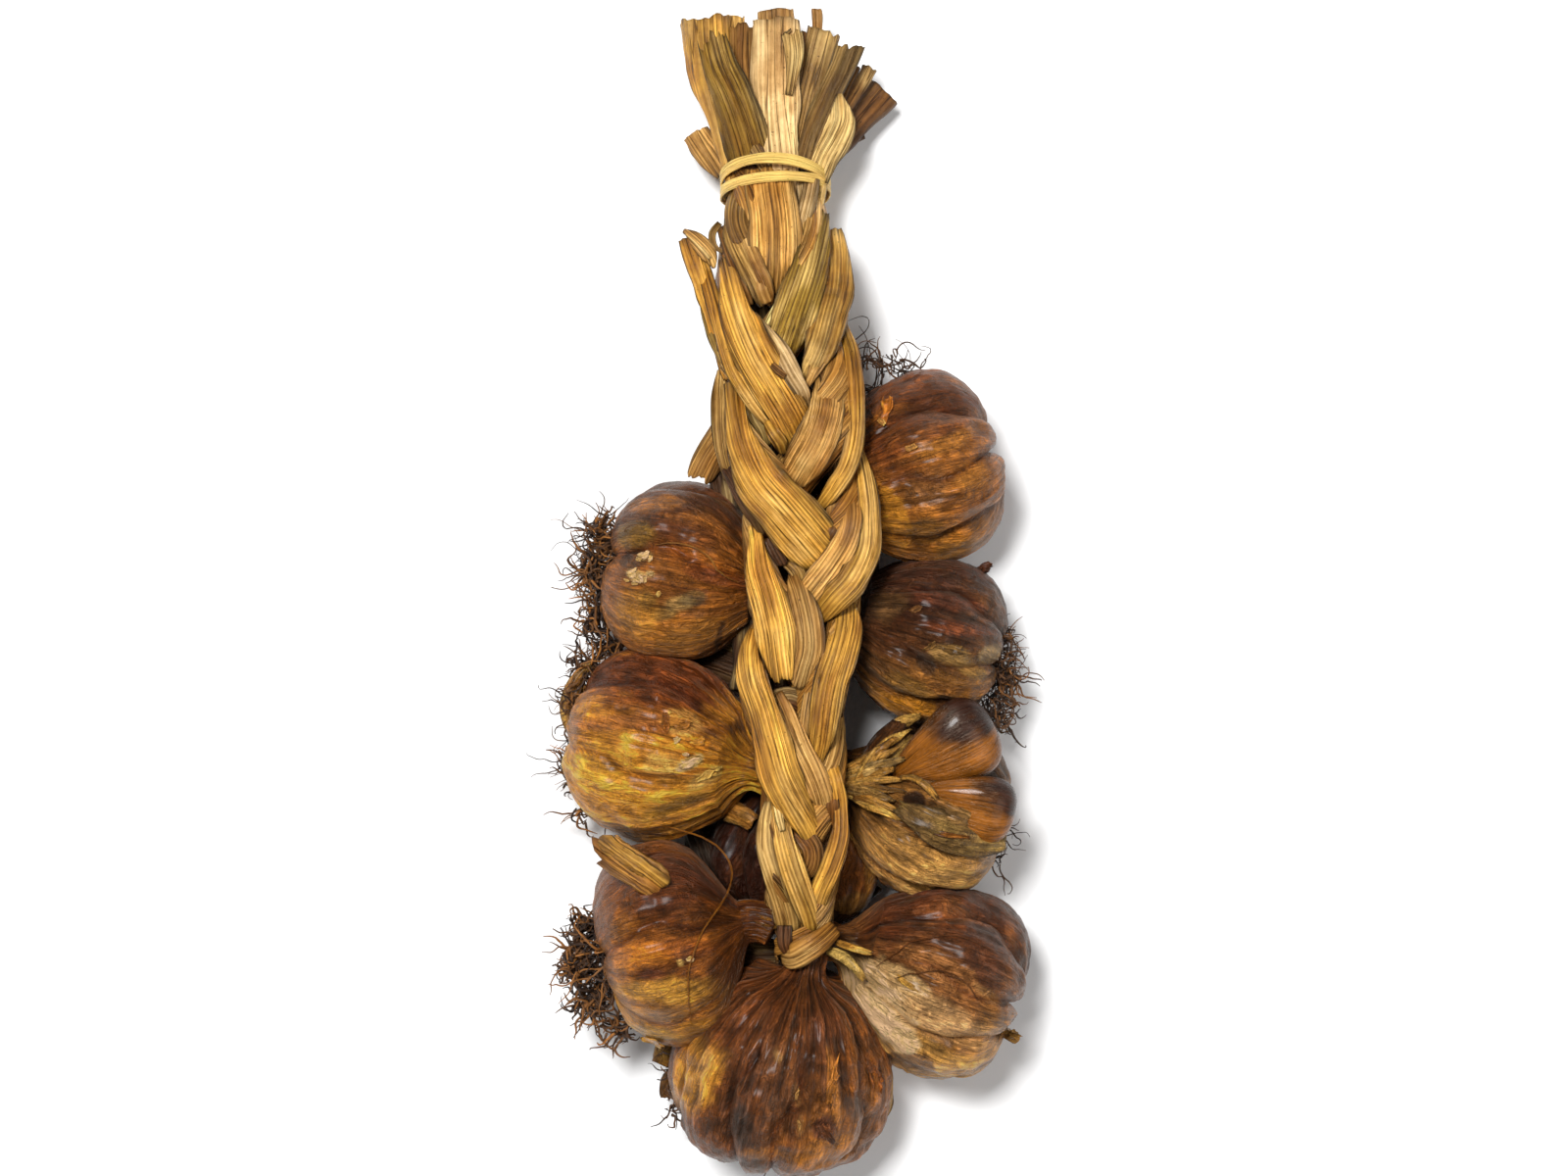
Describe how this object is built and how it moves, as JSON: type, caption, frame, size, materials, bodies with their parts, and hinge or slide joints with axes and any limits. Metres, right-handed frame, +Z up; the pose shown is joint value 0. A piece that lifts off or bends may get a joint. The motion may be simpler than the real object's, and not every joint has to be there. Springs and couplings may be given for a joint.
{
  "type": "garlic braid",
  "caption": "Plait of dried garlic stems and leaves, tied with raffia below its cut stalks, with smoked bulbs along both sides and at the foot.",
  "frame": {"origin": "middle of the footprint, on the surface that the braid lies on", "axes": "+Y along the braid from the lowest bulb to the cut stalks, +Z up out of the shown side, +X to the right seen from the shown side with the stalks away from the viewer"},
  "size_m": [0.1386, 0.3373, 0.0689],
  "materials": {
    "bulb_skin": "papery smoked skin, purple-brown to golden brown, satin sheen",
    "bare_clove": "glossy orange-brown clove skin",
    "dry_leaf": "dried leaf, ridged lengthwise, golden tan, soft sheen",
    "cut_stalk": "dried stalk and leaf, ridged lengthwise, tan to olive brown, matt",
    "raffia": "flat pale yellow raffia, satin",
    "root_hair": "wiry dark brown root hairs, matt"
  },
  "bodies": {
    "root": {"strand_a": "dry_leaf", "strand_b": "dry_leaf", "strand_c": "dry_leaf", "raffia_tie": "raffia", "foot_wrap": "dry_leaf", "stalk_01": "cut_stalk", "stalk_02": "cut_stalk", "stalk_03": "cut_stalk", "stalk_04": "cut_stalk", "stalk_05": "cut_stalk", "stalk_06": "cut_stalk", "stalk_07": "cut_stalk", "stalk_08": "cut_stalk", "stalk_09": "cut_stalk", "stalk_10": "cut_stalk", "stalk_11": "cut_stalk", "stalk_12": "cut_stalk", "stalk_13": "cut_stalk", "bare_clove_upper": "bare_clove", "bare_clove_lower": "bare_clove", "bulb_bottom": "bulb_skin", "bulb_right_1": "bulb_skin", "bulb_right_2": "bulb_skin", "bulb_right_3": "bulb_skin", "bulb_right_4": "bulb_skin", "bulb_left_1": "bulb_skin", "bulb_left_2": "bulb_skin", "bulb_left_3": "bulb_skin", "bulb_back_top": "bulb_skin", "bulb_back_middle": "bulb_skin", "bulb_back_left": "bulb_skin", "folded_leaf": "dry_leaf", "side_leaf": "dry_leaf", "stem_stub": "dry_leaf", "roots_left_1": "root_hair", "roots_left_2": "root_hair", "roots_left_3": "root_hair", "roots_right_2": "root_hair", "roots_right_3": "root_hair", "roots_bottom": "root_hair", "roots_back_top": "root_hair"}
  },
  "joints": []
}
